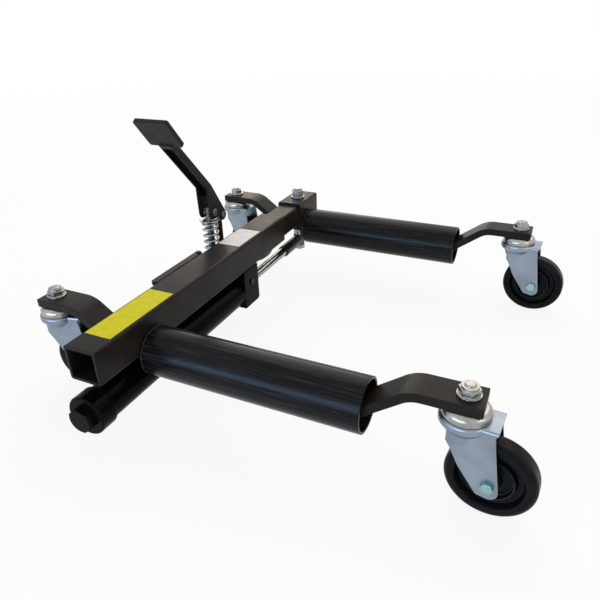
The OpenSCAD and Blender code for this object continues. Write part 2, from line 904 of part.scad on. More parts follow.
module piston_seal() {
    groove = (piston_len - seal_w) / 2;
    color(nylon) placed() translate([0, piston_y + groove, ram_z]) along_y()
        ring(bore_r - run_gap, bore_r - 4 + fit_gap, seal_w);
}

// Round sleeve on the rod that ends in an upright eye on the box bolt
module rod_end() {
    color(black) placed() difference() {
        union() {
            translate([0, collar_y, ram_z]) along_y() cylinder(r = collar_r, h = bolt_y - 4 - collar_y);
            translate([0, bolt_y, eye_z]) cylinder(r = eye_r, h = eye_top - eye_z);
        }
        translate([0, collar_y - cut, ram_z]) along_y() cylinder(r = rod_r + fit_gap, h = rod_grip + cut + fit_gap);
        translate([0, bolt_y, eye_z - cut]) cylinder(r = box_bolt_d / 2 + fit_gap, h = eye_top - eye_z + 2 * cut);
    }
}

// Foot pump
module pump_body() {
    inside = beam_w / 2;
    outside = pump_x + 1.5 * pump_r;
    shelf = beam_z;
    color(black) placed() difference() {
        union() {
            translate([-outside, body_start, body_z]) cube([outside - inside, body_end - body_start, shelf - body_z]);
            translate([-pump_x, pump_y, body_z]) cylinder(r = pump_r, h = pump_top - body_z);
        }
        translate([-pump_x, pump_y, pump_bore_foot]) cylinder(r = plunger_r + run_gap, h = pump_top);
        translate([-release_x, release_y, spindle_foot - fit_gap]) cylinder(r = spindle_r + run_gap, h = pump_top);
    }
}

// Strap that stands on the pump and holds the lever's pivot
module lever_post() {
    color(black) placed() translate([-pump_x - post_t / 2, 0, 0]) along_x() difference() {
        union() {
            translate([pivot_y - post_half, beam_z]) cube([2 * post_half, pivot_z - beam_z, post_t]);
            translate([pivot_y, pivot_z]) cylinder(r = post_half, h = post_t);
        }
        translate([pivot_y, pivot_z, -cut]) cylinder(r = pin_r + fit_gap, h = post_t + 2 * cut);
    }
}

pin_head_r = pin_r + 2.5;
pin_head_t = 2;

// A pin across the lever's socket with a round head outside each cheek
module cross_pin(y, z) {
    half = lever_w / 2 + side_gap;
    translate([-pump_x, y, z]) along_x() {
        translate([0, 0, -half - pin_head_t]) cylinder(r = pin_head_r, h = pin_head_t);
        translate([0, 0, -half - cut]) cylinder(r = pin_r, h = 2 * (half + cut));
        translate([0, 0, half]) cylinder(r = pin_head_r, h = pin_head_t);
    }
}

// Pivot pin, with a spacer on each side of the strap
module pivot_pin() {
    spacer_len = (socket_gap - post_t) / 2 - side_gap;
    color(steel) placed() {
        cross_pin(pivot_y, pivot_z);
        for (x = [post_t / 2, -post_t / 2 - spacer_len])
            translate([x - pump_x, pivot_y, pivot_z]) along_x() ring(pin_r + 2.5, pin_r + fit_gap, spacer_len);
    }
}

module plunger_pin() {
    color(steel) placed() cross_pin(pump_y, pin_z);
}

// Plunger with a shoulder over the spring's washer and an eye for the pin
module plunger() {
    head_top = pin_z + pin_r + 3.5;
    head_r = pin_r + 1.9;
    shoulder_z = seat_z + seat_t;
    color(steel) placed() difference() {
        translate([-pump_x, pump_y, 0]) {
            translate([0, 0, plunger_foot]) cylinder(r = plunger_r, h = shoulder_z - plunger_foot);
            translate([0, 0, shoulder_z]) cylinder(r = plunger_r + 1.5, h = 2);
            translate([0, 0, shoulder_z]) cylinder(r = head_r, h = head_top - shoulder_z);
        }
        translate([-pump_x - lever_w, pump_y, pin_z]) along_x() cylinder(r = pin_r + fit_gap, h = 2 * lever_w);
    }
}

module spring_seat() {
    color(steel) placed() translate([-pump_x, pump_y, seat_z]) ring(seat_d / 2, plunger_r + fit_gap, seat_t);
}

// Return spring: a helix of round wire whose ends stand square on the pump and under the washer
wire_r = wire_d / 2;
rings_per_turn = 8;
wire_sides = 6;
end_bend = wire_d;
coil_foot = pump_top + wire_d + end_bend;
coil_rise = spring_len - 2 * (wire_d + end_bend);
coil_steps = round(spring_turns * rings_per_turn);
function coil_point(t) = [coil_r * cos(360 * t), coil_r * sin(360 * t), coil_foot + coil_rise * t / spring_turns];
// A quarter bend leads from the straight end into the coil, side is -1 at the foot and 1 at the top
function coil_end(side) =
    let (a = side < 0 ? 0 : 360 * spring_turns)
    let (edge = [coil_r * cos(a), coil_r * sin(a), 0])
    let (back = side * [-sin(a), cos(a), 0])
    let (z = side < 0 ? coil_foot : coil_foot + coil_rise)
    [for (b = [30, 60, 90])
        edge + [0, 0, z] + end_bend * (sin(b) * back + side * [0, 0, 1 - cos(b)])];
function straight_end(side) =
    let (last = coil_end(side)[2])
    [last[0], last[1], side < 0 ? pump_top : seat_z];
spring_path = concat(
    [straight_end(-1)],
    [for (i = [2 : -1 : 0]) coil_end(-1)[i]],
    [for (i = [0 : coil_steps]) coil_point(i / rings_per_turn)],
    coil_end(1),
    [straight_end(1)]
);
path_last = len(spring_path) - 1;
function unit(v) = v / norm(v);
function path_dir(i) =
    i == 0 || i == path_last
        ? [0, 0, 1]
        : unit(unit(spring_path[i + 1] - spring_path[i]) + unit(spring_path[i] - spring_path[i - 1]));
function wire_ring(i) =
    let (d = path_dir(i))
    let (p = spring_path[i])
    let (out = unit([p[0], p[1], 0] - d * ([p[0], p[1], 0] * d)))
    let (up = cross(d, out))
    [for (k = [0 : wire_sides - 1])
        p + wire_r * (cos(360 * k / wire_sides) * out + sin(360 * k / wire_sides) * up)];
spring_points = [for (i = [0 : path_last]) each wire_ring(i)];
spring_sides = [
    for (i = [0 : path_last - 1], k = [0 : wire_sides - 1])
        let (a = i * wire_sides + k)
        let (b = i * wire_sides + (k + 1) % wire_sides)
        each [[a, a + wire_sides, b], [b, a + wire_sides, b + wire_sides]]
];
top_ring = path_last * wire_sides;
spring_caps = concat(
    [for (k = [1 : wire_sides - 2]) [0, k, k + 1]],
    [for (k = [1 : wire_sides - 2]) [top_ring, top_ring + k + 1, top_ring + k]]
);
// Least space between two stretches of wire that are more than half a turn apart
spring_self_gap = min([
    for (i = [0 : path_last], j = [0 : path_last])
        if (j - i >= rings_per_turn / 2) norm(spring_path[i] - spring_path[j])
]) - wire_d;
echo(spring_self_gap = spring_self_gap);

module return_spring() {
    color(steel) placed() translate([-pump_x, pump_y, 0])
        polyhedron(points = spring_points, faces = concat(spring_sides, spring_caps), convexity = 12);
}

// Lever outline, in places along the beam and heights
bend_front = [pump_y - 13.5, pin_z + 44];
bend_back = [pump_y - 1, pin_z + 49];
pin_round = 12;
pivot_round = 9.5;
cheek_foot = pin_z - pin_round;
shank_dir = [-cos(shank_slope), sin(shank_slope)];
shank_side = [shank_dir[1], -shank_dir[0]];
shank_half = 6;
shank_mid = (bend_front + bend_back) / 2;
shank_end = shank_mid + shank_len * shank_dir;
shank_web = 4;
pedal_dir = [-cos(pedal_slope), sin(pedal_slope)];
pedal_start = shank_end - 4 * pedal_dir;
pivot_spot = [pivot_y, pivot_z];
back_turn = 30;
back_foot = pivot_spot + pivot_round * [cos(back_turn), sin(back_turn)];
back_dir = unit(back_foot - bend_back);
back_out = [-back_dir[1], back_dir[0]];
socket_web_len = 28;

lever_outline = concat(
    [bend_front],
    arc([pump_y, pin_z], pin_round, 180, 270),
    [[pivot_y - pivot_round, cheek_foot]],
    arc(pivot_spot, pivot_round, 180, 360 + back_turn, 24),
    [bend_back, shank_end + shank_half * shank_side, shank_end - shank_half * shank_side]
);
// Space between the cheeks, open at the front, below and behind the pivot
lever_hollow = [
    shank_end - 8 * shank_dir - 3 * shank_half * shank_side,
    shank_end - 8 * shank_dir + (shank_half - shank_web) * shank_side,
    bend_back - shank_web * shank_side - 2 * shank_dir,
    bend_back + socket_web_len * back_dir - shank_web * back_out,
    bend_back + socket_web_len * back_dir + 3 * shank_half * back_out,
    pivot_spot + 3 * [pivot_round, 0],
    pivot_spot - 3 * [-pivot_round, pivot_round],
    [pump_y - 3 * pin_round, cheek_foot - pin_round],
    bend_front - [2 * pin_round, 0]
];
// Slot in the cheeks along the line from the plunger's pin to the pivot
slot_dir = unit([pivot_back, -pivot_below]);
slot_len = norm([pivot_back, pivot_below]) - pivot_back + 0.4;
slot_r = pin_r + 0.5;

// Pedal plate with round corners, drawn flat and then tilted
module pedal_plate() {
    corner = 3.5;
    along = pedal_start;
    translate([-pump_x, along[0], along[1]]) rotate([180 - pedal_slope, 0, 0]) translate([0, 0, -pedal_t / 2])
        linear_extrude(pedal_t) {
            translate([-pedal_w / 2 + corner, 0]) square([pedal_w - 2 * corner, pedal_len]);
            translate([-pedal_w / 2, corner]) square([pedal_w, pedal_len - 2 * corner]);
            for (x = [-pedal_w / 2 + corner, pedal_w / 2 - corner], y = [corner, pedal_len - corner])
                translate([x, y]) circle(r = corner, $fn = 32);
        }
}

module pedal_lever() {
    color(black) placed() difference() {
        union() {
            translate([-pump_x, 0, 0]) along_x() difference() {
                translate([0, 0, -lever_w / 2]) linear_extrude(lever_w) polygon(lever_outline);
                translate([0, 0, -socket_gap / 2]) linear_extrude(socket_gap) polygon(lever_hollow);
            }
            pedal_plate();
        }
        translate([-pump_x - lever_w, 0, 0]) along_x() {
            translate([pivot_y, pivot_z]) cylinder(r = pin_r + run_gap, h = 2 * lever_w);
            translate([pump_y, pin_z]) cylinder(r = slot_r, h = 2 * lever_w);
            translate([pump_y, pin_z] + slot_len * slot_dir) cylinder(r = slot_r, h = 2 * lever_w);
            translate([pump_y, pin_z]) rotate([0, 0, -atan(pivot_below / pivot_back)])
                translate([0, -slot_r, 0]) cube([slot_len, 2 * slot_r, 2 * lever_w]);
        }
    }
}

// Release lever
module release_lever() {
    color(black) placed() difference() {
        translate([-release_x, release_y, release_z]) {
            cylinder(d = release_w, h = release_t);
            translate([-release_w / 2, -release_len + release_w / 2, 0])
                cube([release_w, release_len - release_w / 2, release_t]);
            translate([0, -release_len + release_w / 2, 0]) cylinder(d = release_w, h = release_t);
        }
        translate([-release_x, release_y, release_z - cut]) cylinder(r = spindle_r - 1 + fit_gap, h = release_t + 2 * cut);
    }
}

// Spindle of the release valve, stepped where the lever sits and with a flat head on it
module release_spindle() {
    color(steel) placed() translate([-release_x, release_y, 0]) {
        translate([0, 0, spindle_foot]) cylinder(r = spindle_r, h = release_z - spindle_foot);
        translate([0, 0, release_z - cut]) cylinder(r = spindle_r - 1, h = release_t + 2 + cut);
    }
}

beam_tube();
near_sticker();
far_sticker();
near_arm();
near_journals();
near_races();
near_kingpins();
near_nuts();
ram_barrel();
ram_cap();
ram_plug();
ram_block();
block_bolts();
side_screw();
rod_gland();
pump_body();
lever_post();
pivot_pin();
inner_tube();
end_box();
box_bolt();
box_nut();
ram_rod();
rod_end();
ram_piston();
piston_seal();
far_arm();
far_journals();
far_races();
far_kingpins();
far_nuts();
near_roller();
near_bushes();
far_roller();
far_bushes();
nf_fork();
nf_balls();
nf_axle();
nf_wheel();
nr_fork();
nr_balls();
nr_axle();
nr_wheel();
ff_fork();
ff_balls();
ff_axle();
ff_wheel();
fr_fork();
fr_balls();
fr_axle();
fr_wheel();
pedal_lever();
plunger_pin();
plunger();
spring_seat();
return_spring();
release_lever();
release_spindle();
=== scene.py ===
"""Vehicle positioning jack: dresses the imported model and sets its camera, light and floor."""
import json
import math

import bpy
from mathutils import Matrix, Vector


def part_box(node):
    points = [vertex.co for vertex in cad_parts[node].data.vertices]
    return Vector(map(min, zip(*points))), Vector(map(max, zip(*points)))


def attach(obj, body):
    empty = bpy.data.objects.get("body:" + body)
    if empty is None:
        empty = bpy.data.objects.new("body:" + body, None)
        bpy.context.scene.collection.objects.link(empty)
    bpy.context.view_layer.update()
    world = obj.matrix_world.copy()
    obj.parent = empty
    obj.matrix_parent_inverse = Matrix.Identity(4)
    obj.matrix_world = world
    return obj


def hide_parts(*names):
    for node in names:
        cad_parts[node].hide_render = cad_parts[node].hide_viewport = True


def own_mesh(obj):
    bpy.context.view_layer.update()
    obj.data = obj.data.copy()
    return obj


MM = 0.001
EVEN = (1, 1, 1)
UP = (0, 0, 1)
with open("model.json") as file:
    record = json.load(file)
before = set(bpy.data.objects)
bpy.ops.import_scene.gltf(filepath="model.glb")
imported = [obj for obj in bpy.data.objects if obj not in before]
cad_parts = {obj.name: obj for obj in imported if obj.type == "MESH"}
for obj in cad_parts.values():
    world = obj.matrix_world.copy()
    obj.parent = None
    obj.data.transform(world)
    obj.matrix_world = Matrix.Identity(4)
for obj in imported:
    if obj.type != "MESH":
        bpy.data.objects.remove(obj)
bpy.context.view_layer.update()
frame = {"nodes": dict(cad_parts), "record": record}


def add_object(name, data):
    made = bpy.data.objects.new(name, data)
    bpy.context.scene.collection.objects.link(made)
    return made


# Camera, fitted to the photograph
CAMERA_PLACE = Vector((0.30833, -0.70268, 0.51688))
CAMERA_YAW = math.radians(25.933)
CAMERA_PITCH = math.radians(-28.529)
CAMERA_ROLL = math.radians(-1.816)
CAMERA_LENS = 33.106
CAMERA_SENSOR = 36
CAMERA_CLIP = 0.01


def make_camera():
    data = bpy.data.cameras.new("camera")
    data.lens = CAMERA_LENS
    data.sensor_width = CAMERA_SENSOR
    data.clip_start = CAMERA_CLIP
    camera = add_object("camera", data)
    level = math.cos(CAMERA_PITCH)
    ahead = Vector((-math.sin(CAMERA_YAW) * level, math.cos(CAMERA_YAW) * level, math.sin(CAMERA_PITCH)))
    right = Vector((math.cos(CAMERA_YAW), math.sin(CAMERA_YAW), 0))
    up = right.cross(ahead)
    turned_right = right * math.cos(CAMERA_ROLL) + up * math.sin(CAMERA_ROLL)
    turned_up = up * math.cos(CAMERA_ROLL) - right * math.sin(CAMERA_ROLL)
    turn = Matrix((turned_right, turned_up, -ahead)).transposed()
    camera.matrix_world = Matrix.Translation(CAMERA_PLACE) @ turn.to_4x4()
    bpy.context.scene.camera = camera


# Shader nodes
def shader_of(tree):
    return tree.nodes["Principled BSDF"]


def new_material(name, colour, roughness, metallic=0.0, **others):
    material = bpy.data.materials.new(name)
    material.use_nodes = True
    shader = shader_of(material.node_tree)
    shader.inputs["Base Color"].default_value = (*colour, 1)
    shader.inputs["Roughness"].default_value = roughness
    shader.inputs["Metallic"].default_value = metallic
    for socket, value in others.items():
        shader.inputs[socket.replace("_", " ")].default_value = value
    return material


def place_of(tree, stretch=EVEN):
    """Coordinates in metres that ride with the piece, stretched along its axes."""
    coordinates = tree.nodes.new("ShaderNodeTexCoord")
    mapping = tree.nodes.new("ShaderNodeMapping")
    mapping.inputs["Scale"].default_value = stretch
    tree.links.new(coordinates.outputs["Object"], mapping.inputs["Vector"])
    return mapping.outputs["Vector"]


def noise(tree, size, detail=3.0, stretch=EVEN, distortion=0.0):
    """Noise whose grain is about size metres across."""
    texture = tree.nodes.new("ShaderNodeTexNoise")
    texture.inputs["Scale"].default_value = 1 / size
    texture.inputs["Detail"].default_value = detail
    texture.inputs["Distortion"].default_value = distortion
    tree.links.new(place_of(tree, stretch), texture.inputs["Vector"])
    return texture.outputs["Fac"]


def ramp(tree, factor, low, high, start=0.35, stop=0.65):
    """Colour that runs from low to high as factor runs from start to stop."""
    node = tree.nodes.new("ShaderNodeValToRGB")
    first, last = node.color_ramp.elements
    first.position, last.position = start, stop
    first.color, last.color = (*low, 1), (*high, 1)
    tree.links.new(factor, node.inputs["Fac"])
    return node.outputs["Color"]


def spread(tree, factor, low, high, start=0.3, stop=0.7):
    """Number that runs from low to high as factor runs from start to stop."""
    node = tree.nodes.new("ShaderNodeMapRange")
    values = {"From Min": start, "From Max": stop, "To Min": low, "To Max": high}
    for socket, value in values.items():
        node.inputs[socket].default_value = value
    tree.links.new(factor, node.inputs["Value"])
    return node.outputs["Result"]


def colour_mix(tree, factor, below, above):
    """Colour that runs from below to above as factor runs from 0 to 1."""
    node = tree.nodes.new("ShaderNodeMix")
    node.data_type = "RGBA"
    tree.links.new(factor, node.inputs["Factor"])
    for socket, value in ((node.inputs[6], below), (node.inputs[7], above)):
        if isinstance(value, tuple):
            socket.default_value = (*value, 1)
        else:
            tree.links.new(value, socket)
    return node.outputs[2]


def math_node(tree, operation, first, second):
    node = tree.nodes.new("ShaderNodeMath")
    node.operation = operation
    for socket, value in zip(node.inputs, (first, second)):
        if isinstance(value, (int, float)):
            socket.default_value = value
        else:
            tree.links.new(value, socket)
    return node.outputs["Value"]


def bump(tree, height, depth, below=None):
    """Relief of depth metres; below is relief that this lies on."""
    node = tree.nodes.new("ShaderNodeBump")
    node.inputs["Strength"].default_value = 1.0
    node.inputs["Distance"].default_value = depth
    tree.links.new(height, node.inputs["Height"])
    if below:
        tree.links.new(below, node.inputs["Normal"])
    return node.outputs["Normal"]


def plug(tree, **sockets):
    """Links outputs to the shader's sockets."""
    for socket, output in sockets.items():
        tree.links.new(output, shader_of(tree).inputs[socket.replace("_", " ")])


def blend(tree, factor, below, above, surface):
    """Links two shaders, mixed by factor, to a surface."""
    mix = tree.nodes.new("ShaderNodeMixShader")
    tree.links.new(factor, mix.inputs["Fac"])
    tree.links.new(below, mix.inputs[1])
    tree.links.new(above, mix.inputs[2])
    tree.links.new(mix.outputs["Shader"], surface)


def lighter(colour, times):
    return tuple(times * c for c in colour)


# Cosine between the rounded and the true normal, at which the edge mask is full and at which it ends; the
# mask marks rubbed paint, and a painted highlight on the wheels' rim edges
EDGE_MASK_FULL, EDGE_MASK_ENDS = 0.8, 0.98
EDGE_MASK_SAMPLES = 4


def edge_wear_and_glint(tree, radius):
    """1 on the edges of the piece and 0 on its faces."""
    bevel = tree.nodes.new("ShaderNodeBevel")
    bevel.samples = EDGE_MASK_SAMPLES
    bevel.inputs["Radius"].default_value = radius
    geometry = tree.nodes.new("ShaderNodeNewGeometry")
    dot = tree.nodes.new("ShaderNodeVectorMath")
    dot.operation = "DOT_PRODUCT"
    tree.links.new(bevel.outputs["Normal"], dot.inputs[0])
    tree.links.new(geometry.outputs["Normal"], dot.inputs[1])
    return spread(tree, dot.outputs["Value"], 1.0, 0.0, EDGE_MASK_FULL, EDGE_MASK_ENDS)


# Materials
PAINT_WORN = 0.5
PAINT_WORN_LIGHTER = 3.0
ENAMEL_SMOOTH, ENAMEL_ROUGH = 0.16, 0.34
# Strength and lightness of the enamel's light lines, part scratched and part painted highlight
SCRATCH_AND_HIGHLIGHT_STRENGTH = 0.7
SCRATCH_AND_HIGHLIGHT_LIGHTER = 4.0
# Noise from which a light line, part scratched and part painted highlight, begins, and from which it is
# full
SCRATCH_AND_HIGHLIGHT_BEGINS, SCRATCH_AND_HIGHLIGHT_FULL = 0.66, 0.74
# Grey of the painted highlight along the wheels' rim edges
GLINT_GREY = (0.3, 0.3, 0.31)


def paint(name, dark, light, smooth, rough, peel, level):
    """Powder coat: faint haze, fine orange peel and rubbed edges."""
    material = new_material(name, dark, rough, Specular_IOR_Level=level)
    tree = material.node_tree
    haze = noise(tree, 50 * MM, detail=4.0)
    grain = noise(tree, 1.6 * MM, detail=2.0)
    patches = spread(tree, noise(tree, 6 * MM), 0.0, PAINT_WORN)
    rubbed = math_node(tree, "MULTIPLY", edge_wear_and_glint(tree, 1.2 * MM), patches)
    colour = colour_mix(tree, rubbed, ramp(tree, haze, dark, light), lighter(light, PAINT_WORN_LIGHTER))
    gloss = spread(tree, noise(tree, 20 * MM, detail=5.0), smooth, rough)
    plug(tree, Base_Color=colour, Roughness=gloss, Normal=bump(tree, grain, peel))
    return material


def drawn_enamel(name, along, dark, light, level):
    """Gloss enamel over the lengthwise streaks and scratched lines of drawn tube; its lighter streaks and
    lines are partly painted highlight.
    """
    material = new_material(name, dark, 0.25, Specular_IOR_Level=level)
    tree = material.node_tree
    streak = noise(tree, 2.2 * MM, detail=4.0, stretch=along)
    fine = noise(tree, 0.7 * MM, detail=2.0, stretch=along)
    scratch_and_highlight_noise = noise(tree, 1.1 * MM, detail=1.0, stretch=along)
    # Light lines along the tube: scratched marks and painted highlight
    scratch_and_highlight = spread(tree, scratch_and_highlight_noise, 0.0, SCRATCH_AND_HIGHLIGHT_STRENGTH, SCRATCH_AND_HIGHLIGHT_BEGINS, SCRATCH_AND_HIGHLIGHT_FULL)
    colour = colour_mix(tree, scratch_and_highlight, ramp(tree, streak, dark, light), lighter(light, SCRATCH_AND_HIGHLIGHT_LIGHTER))
    gloss = spread(tree, streak, ENAMEL_SMOOTH, ENAMEL_ROUGH)
    relief = bump(tree, fine, 0.03 * MM, below=bump(tree, streak, 0.06 * MM))
    plug(tree, Base_Color=colour, Roughness=gloss, Normal=relief)
    return material


def film(name, colour, mottle, roughness):
    """Plain printed film with faint mottling and a few soft creases."""
    material = new_material(name, colour, roughness, Specular_IOR_Level=0.1)
    tree = material.node_tree
    tone = ramp(tree, noise(tree, 12 * MM, detail=5.0), mottle, colour, 0.3, 0.6)
    gloss = spread(tree, noise(tree, 4 * MM), roughness - 0.08, roughness + 0.1)
    creases = noise(tree, 30 * MM, detail=2.0, stretch=(1, 0.3, 1))
    plug(tree, Base_Color=tone, Roughness=gloss, Normal=bump(tree, creases, 0.3 * MM))
    return material


def metal(name, dark, light, smooth, rough, grain, stretch=EVEN, depth=0.03 * MM, clouds=18 * MM):
    """Plated or bare steel with cloudy tone and fine grain."""
    material = new_material(name, light, rough, metallic=1.0)
    tree = material.node_tree
    tone = ramp(tree, noise(tree, clouds, detail=4.0, distortion=0.4), dark, light)
    fine = noise(tree, grain, stretch=stretch)
    plug(tree, Base_Color=tone, Roughness=spread(tree, fine, smooth, rough), Normal=bump(tree, fine, depth))
    return material


def moulded(name, dark, light, smooth, rough, grain, depth, level=0.4, edge_glint=0.0):
    """Moulded rubber or plastic with a matt grain and a dusty bloom; its last argument sets a painted
    highlight of light grey along its edges.
    """
    material = new_material(name, dark, rough, Specular_IOR_Level=level)
    tree = material.node_tree
    colour = ramp(tree, noise(tree, 15 * MM, detail=6.0), dark, light, 0.4, 0.75)
    if edge_glint:
        # Painted highlight: light grey along the edges, standing in for a glint on the rim lips
        edge = math_node(tree, "MULTIPLY", edge_wear_and_glint(tree, 0.9 * MM), edge_glint)
        colour = colour_mix(tree, edge, colour, GLINT_GREY)
    gloss = spread(tree, noise(tree, 8 * MM, detail=4.0), smooth, rough)
    plug(tree, Base_Color=colour, Roughness=gloss, Normal=bump(tree, noise(tree, grain), depth))
    return material


ALONG_X = (0.02, 1, 1)
ALONG_Y = (1, 0.02, 1)
PLATED_DEPTH = 0.004 * MM
FINISHES = {
    "black_paint": (paint, dict(
        dark=(0.009, 0.0072, 0.0058), light=(0.018, 0.0142, 0.0112), smooth=0.3, rough=0.42,
        peel=0.04 * MM, level=0.1)),
    "black_gloss": (paint, dict(
        dark=(0.002, 0.002, 0.002), light=(0.005, 0.0046, 0.0043), smooth=0.2, rough=0.3,
        peel=0.03 * MM, level=0.035)),
    "roller_black": (drawn_enamel, dict(
        along=ALONG_X, dark=(0.003, 0.0028, 0.0028), light=(0.014, 0.0125, 0.012), level=0.1)),
    # Painted shade: a darker, less reflective copy of the black paint, for the ram's barrel in the shade
    # under the beam
    "barrel_black": (drawn_enamel, dict(
        along=ALONG_Y, dark=(0.001, 0.001, 0.001), light=(0.003, 0.0029, 0.0028), level=0.03)),
    "caution_yellow": (film, dict(colour=(0.7, 0.62, 0.006), mottle=(0.63, 0.55, 0.006), roughness=0.4)),
    "label_white": (film, dict(colour=(0.72, 0.68, 0.66), mottle=(0.64, 0.6, 0.58), roughness=0.42)),
    "bare_steel": (metal, dict(
        dark=(0.17, 0.165, 0.155), light=(0.26, 0.255, 0.245), smooth=0.25, rough=0.4, grain=1.0 * MM)),
    "zinc": (metal, dict(
        dark=(0.29, 0.28, 0.265), light=(0.41, 0.4, 0.38), smooth=0.22, rough=0.32,
        grain=3 * MM, depth=PLATED_DEPTH)),
    "fork_zinc": (metal, dict(
        dark=(0.2, 0.24, 0.285), light=(0.3, 0.345, 0.4), smooth=0.32, rough=0.42,
        grain=6 * MM, stretch=(1, 1, 0.3), depth=PLATED_DEPTH, clouds=60 * MM)),
    "axle_zinc": (metal, dict(
        dark=(0.2, 0.38, 0.4), light=(0.4, 0.56, 0.58), smooth=0.18, rough=0.3,
        grain=3 * MM, depth=PLATED_DEPTH)),
    "chrome": (metal, dict(
        dark=(0.27, 0.265, 0.255), light=(0.38, 0.37, 0.36), smooth=0.12, rough=0.2,
        grain=2 * MM, stretch=(1, 0.05, 1), depth=0.006 * MM)),
    "spring_steel": (metal, dict(
        dark=(0.27, 0.26, 0.25), light=(0.42, 0.41, 0.4), smooth=0.2, rough=0.34,
        grain=1.5 * MM, depth=0.015 * MM)),
    "black_oxide": (metal, dict(
        dark=(0.04, 0.038, 0.036), light=(0.08, 0.076, 0.072), smooth=0.28, rough=0.42, grain=1.2 * MM)),
    "seal_rubber": (moulded, dict(
        dark=(0.012, 0.012, 0.012), light=(0.03, 0.03, 0.03), smooth=0.4, rough=0.6,
        grain=0.8 * MM, depth=0.04 * MM)),
    "nylon": (moulded, dict(
        dark=(0.018, 0.018, 0.018), light=(0.035, 0.034, 0.033), smooth=0.36, rough=0.55,
        grain=1.0 * MM, depth=0.03 * MM)),
    # Wheel rubber, with a painted highlight along its rim edges
    "wheel_rubber": (moulded, dict(
        dark=(0.003, 0.0034, 0.004), light=(0.008, 0.0078, 0.0075), smooth=0.26, rough=0.42,
        grain=1.0 * MM, depth=0.03 * MM, level=0.08, edge_glint=0.8)),
}


def make_materials():
    return {name: make(name, **look) for name, (make, look) in FINISHES.items()}


# CAD nodes: finish, and bevels in millimetres
# Finishes in place of the record's slots; the barrel's is a darker copy of the black paint, painting in the
# shade under the beam
LOOKS = {
    # The plunger takes darker bare steel in place of its chrome: painted shade inside the spring coil
    "plunger": "bare_steel", "ram_barrel": "barrel_black", "ram_block": "black_gloss",
    "nf_axle": "axle_zinc", "nr_axle": "axle_zinc", "ff_axle": "axle_zinc", "fr_axle": "axle_zinc",
}
BEVELS = {
    "beam_tube": 0.9, "end_box": 0.9, "near_arm": 1.0, "far_arm": 1.0, "ram_block": 0.9, "pump_body": 0.9,
    "pedal_lever": 0.8, "near_roller": 0.8, "far_roller": 0.8, "ram_cap": 0.6, "ram_plug": 0.7,
}
FINE_BEVEL = 0.45
NO_BEVEL = ("near_sticker", "far_sticker", "return_spring")
# Edges that meet closer than their bevel's width, where a free bevel would run past the steel
CLAMPED = ("ram_plug", "rod_end")
BEVEL_SEGMENTS = 2
BEVEL_ANGLE = math.radians(28)
FLAT_ANGLE = math.radians(0.4)
MERGE_WITHIN = 0.01 * MM


def add_bevel(cad, width, clamped):
    """Joins the mesh's corners and flat faces, then rounds its edges."""
    weld = cad.modifiers.new("weld", "WELD")
    weld.merge_threshold = MERGE_WITHIN
    flat = cad.modifiers.new("flat", "DECIMATE")
    flat.decimate_type = "DISSOLVE"
    flat.angle_limit = FLAT_ANGLE
    bevel = cad.modifiers.new("bevel", "BEVEL")
    bevel.width = width * MM
    bevel.segments = BEVEL_SEGMENTS
    bevel.limit_method = "ANGLE"
    bevel.angle_limit = BEVEL_ANGLE
    bevel.use_clamp_overlap = clamped
    cad.modifiers.new("normals", "WEIGHTED_NORMAL")


def dress_nodes(materials):
    for row in frame["record"]["subparts"]:
        node = row["node"]
        cad = frame["nodes"][node]
        look = LOOKS.get(node, row["material_slot"])
        for slot in cad.material_slots:
            slot.material = materials[look]
        cad.data.polygons.foreach_set("use_smooth", [True] * len(cad.data.polygons))
        if node not in NO_BEVEL and not node.endswith("_balls"):
            add_bevel(cad, BEVELS.get(node, FINE_BEVEL), node in CLAMPED)


# Pieces
def add_piece(name, points, faces, material, body):
    """A smooth-shaded mesh piece that rides on a body."""
    mesh = bpy.data.meshes.new(name)
    mesh.from_pydata([tuple(p) for p in points], [], faces)
    mesh.polygons.foreach_set("use_smooth", [True] * len(mesh.polygons))
    mesh.materials.append(material)
    piece = add_object(name, mesh)
    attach(piece, body)
    return piece


def tube(path, radii, sides):
    """Points and faces of a round tube along path, closed at both ends."""
    points, faces = [], []
    side = Vector(UP)
    for i, place in enumerate(path):
        ahead = (path[min(i + 1, len(path) - 1)] - path[max(i - 1, 0)]).normalized()
        side = side - ahead * side.dot(ahead)
        if side.length < 1e-6:
            side = ahead.orthogonal()
        side.normalize()
        other = ahead.cross(side)
        for k in range(sides):
            a = 2 * math.pi * k / sides
            points.append(place + radii[i] * (math.cos(a) * side + math.sin(a) * other))
    for i in range(len(path) - 1):
        for k in range(sides):
            a, b = i * sides + k, i * sides + (k + 1) % sides
            faces.append((a, b, b + sides, a + sides))
    last = (len(path) - 1) * sides
    faces.append(tuple(reversed(range(sides))))
    faces.append(tuple(range(last, last + sides)))
    return points, faces


def lathe(profile, centre, axis, sides):
    """Points and faces of a closed profile of (radius, height) pairs turned about an axis."""
    axis = Vector(axis).normalized()
    side = axis.orthogonal().normalized()
    other = axis.cross(side)
    points, faces = [], []
    for k in range(sides):
        a = 2 * math.pi * k / sides
        out = math.cos(a) * side + math.sin(a) * other
        points += [Vector(centre) + r * out + h * axis for r, h in profile]
    count = len(profile)
    for k in range(sides):
        for i in range(count):
            a, b = k * count + i, k * count + (i + 1) % count
            c, d = (k + 1) % sides * count + (i + 1) % count, (k + 1) % sides * count + i
            faces.append((a, b, c, d))
    return points, faces


# Return spring
SPRING_TURNS = 7.5
SPRING_WIRE = 4.0 * MM
SPRING_SHUT_TURNS = 1.0
# Rise of a shut turn, in widths of the wire
SPRING_SHUT_LIFT = 0.92
SPRING_STEPS = 28
SPRING_SIDES = 14


